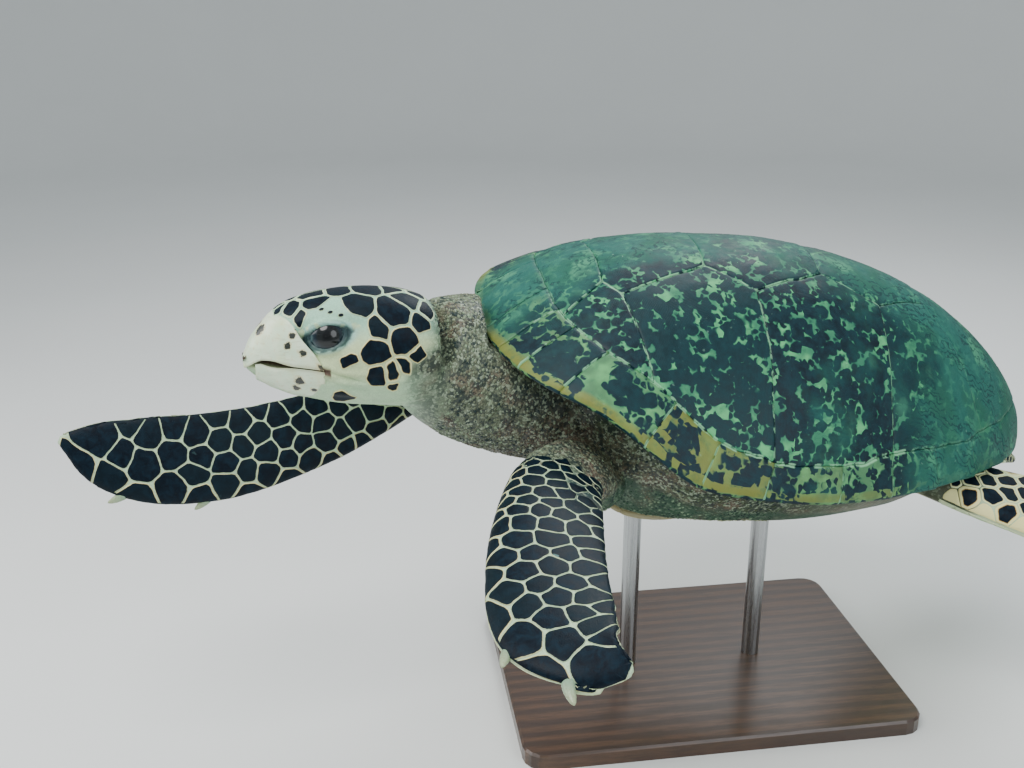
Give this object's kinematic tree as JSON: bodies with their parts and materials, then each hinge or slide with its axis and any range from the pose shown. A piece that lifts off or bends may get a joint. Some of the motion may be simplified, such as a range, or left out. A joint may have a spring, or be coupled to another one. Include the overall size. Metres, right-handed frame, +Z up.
{
  "type": "hawksbill sea turtle model",
  "caption": "Life-size hawksbill sea turtle in mid-swim, head raised and front flippers spread, with a domed shell of overlapping plates, held over a flat base by short rods.",
  "frame": {"origin": "centre of the stand base's underside, on the floor", "axes": "+Z up, the turtle heads along -Y, its left side toward +X"},
  "size_m": [0.9391, 1.4489, 0.659],
  "materials": {
    "scute": "satin horn, dark blotches on olive and amber, greenish bloom",
    "skin": "matte, wrinkled, with dark scales edged in cream",
    "beak": "satin horn",
    "eye": "wet gloss",
    "claw": "satin horn",
    "plastron": "satin horn",
    "stand_base": "dark satin",
    "stand_rod": "brushed"
  },
  "bodies": {
    "root": {"beak_lower": "beak", "beak_upper": "beak", "claw_front_left_1": "claw", "claw_front_left_2": "claw", "claw_front_right_1": "claw", "claw_front_right_2": "claw", "claw_hind_left": "claw", "claw_hind_right": "claw", "costal_left_1": "scute", "costal_left_2": "scute", "costal_left_3": "scute", "costal_left_4": "scute", "costal_right_1": "scute", "costal_right_2": "scute", "costal_right_3": "scute", "costal_right_4": "scute", "eye_left": "eye", "eye_right": "eye", "flipper_front_left": "skin", "flipper_front_right": "skin", "flipper_hind_left": "skin", "flipper_hind_right": "skin", "head": "skin", "marginal_left_1": "scute", "marginal_left_10": "scute", "marginal_left_11": "scute", "marginal_left_12": "scute", "marginal_left_2": "scute", "marginal_left_3": "scute", "marginal_left_4": "scute", "marginal_left_5": "scute", "marginal_left_6": "scute", "marginal_left_7": "scute", "marginal_left_8": "scute", "marginal_left_9": "scute", "marginal_right_1": "scute", "marginal_right_10": "scute", "marginal_right_11": "scute", "marginal_right_12": "scute", "marginal_right_2": "scute", "marginal_right_3": "scute", "marginal_right_4": "scute", "marginal_right_5": "scute", "marginal_right_6": "scute", "marginal_right_7": "scute", "marginal_right_8": "scute", "marginal_right_9": "scute", "neck": "skin", "nuchal": "scute", "plastron": "plastron", "stand_base": "stand_base", "stand_rod_front": "stand_rod", "stand_rod_rear": "stand_rod", "tail": "skin", "trunk": "skin", "vertebral_1": "scute", "vertebral_2": "scute", "vertebral_3": "scute", "vertebral_4": "scute", "vertebral_5": "scute"}
  },
  "joints": []
}
